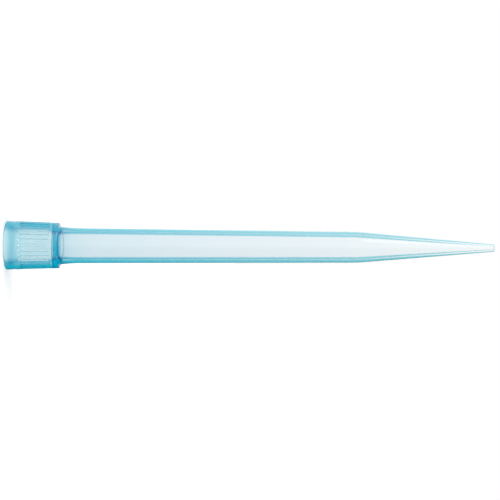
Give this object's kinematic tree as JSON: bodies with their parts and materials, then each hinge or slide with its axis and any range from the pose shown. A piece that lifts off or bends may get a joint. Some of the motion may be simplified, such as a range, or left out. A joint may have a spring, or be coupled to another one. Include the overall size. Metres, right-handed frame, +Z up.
{
  "type": "pipette tip",
  "caption": "Disposable tip for an air-displacement pipette: a ribbed collar with a nozzle socket, a long drafted barrel and a fine conical end.",
  "frame": {"origin": "centre of the mouth, on the flat face of the rim that the tip stands on", "axes": "+Z up along the tip's axis towards the fine end; -Z out of the mouth, the way the pipette's nozzle leaves; +X and +Y across, alike"},
  "size_m": [0.009, 0.009, 0.09],
  "materials": {
    "blue_polypropylene": "translucent, moulded, light blue tint"
  },
  "bodies": {
    "root": {"pipette_tip": "blue_polypropylene"}
  },
  "joints": []
}
